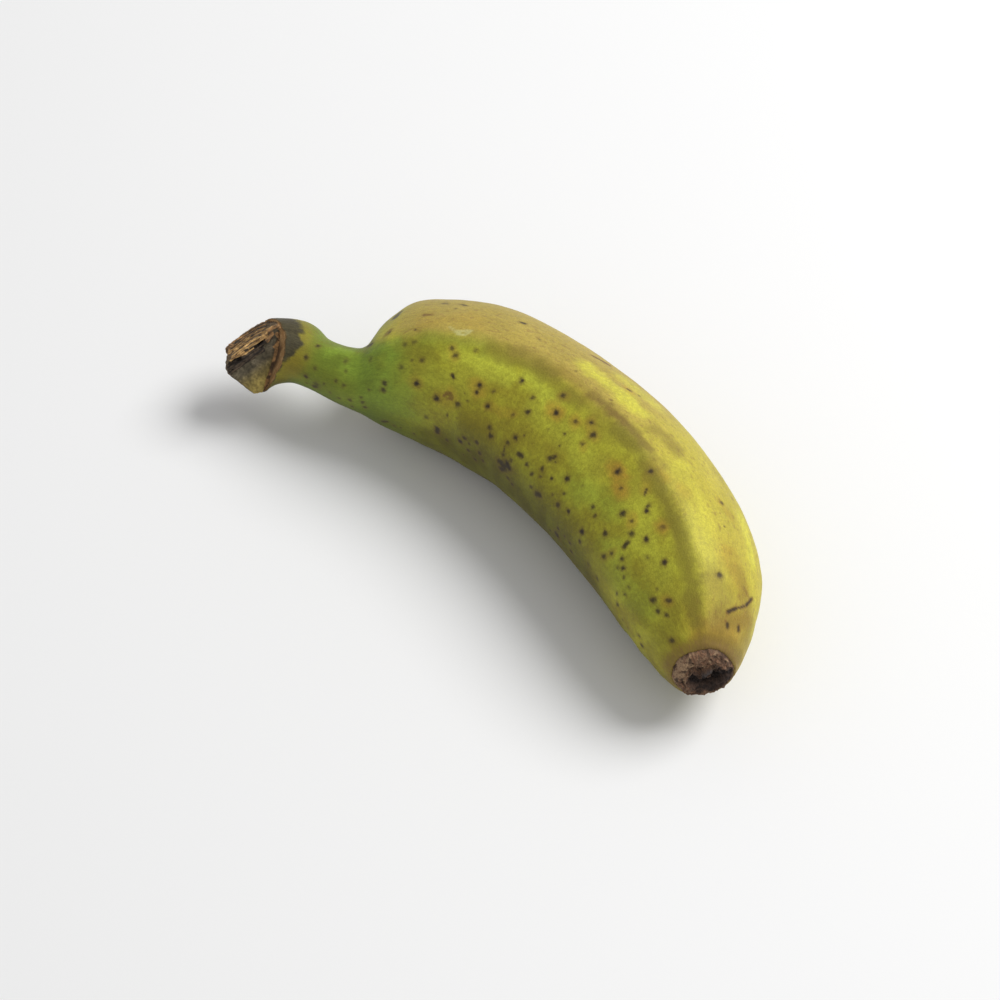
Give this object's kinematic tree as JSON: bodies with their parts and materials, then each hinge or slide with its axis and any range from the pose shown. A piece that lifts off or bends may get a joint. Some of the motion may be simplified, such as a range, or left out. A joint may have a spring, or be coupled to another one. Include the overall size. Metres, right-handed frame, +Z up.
{
  "type": "banana",
  "caption": "Short, stout, curved banana with five soft ridges, a torn stalk and a corky blossom scar, lying on its side.",
  "frame": {"origin": "centre of the bounding box's underside, on the surface that the banana lies on", "axes": "+Z up, +X along the longest extent from the stalk to the blossom end, the hollow of the curve faces -Y"},
  "size_m": [0.1329, 0.0518, 0.0347],
  "materials": {
    "peel": "half-ripe green to yellow banana peel, satin, with small brown specks",
    "torn_stalk": "dry torn stalk, dark brown and fibrous, matte",
    "blossom_scar": "brown corky scar, wrinkled, matte"
  },
  "bodies": {
    "root": {"banana": "peel"}
  },
  "joints": []
}
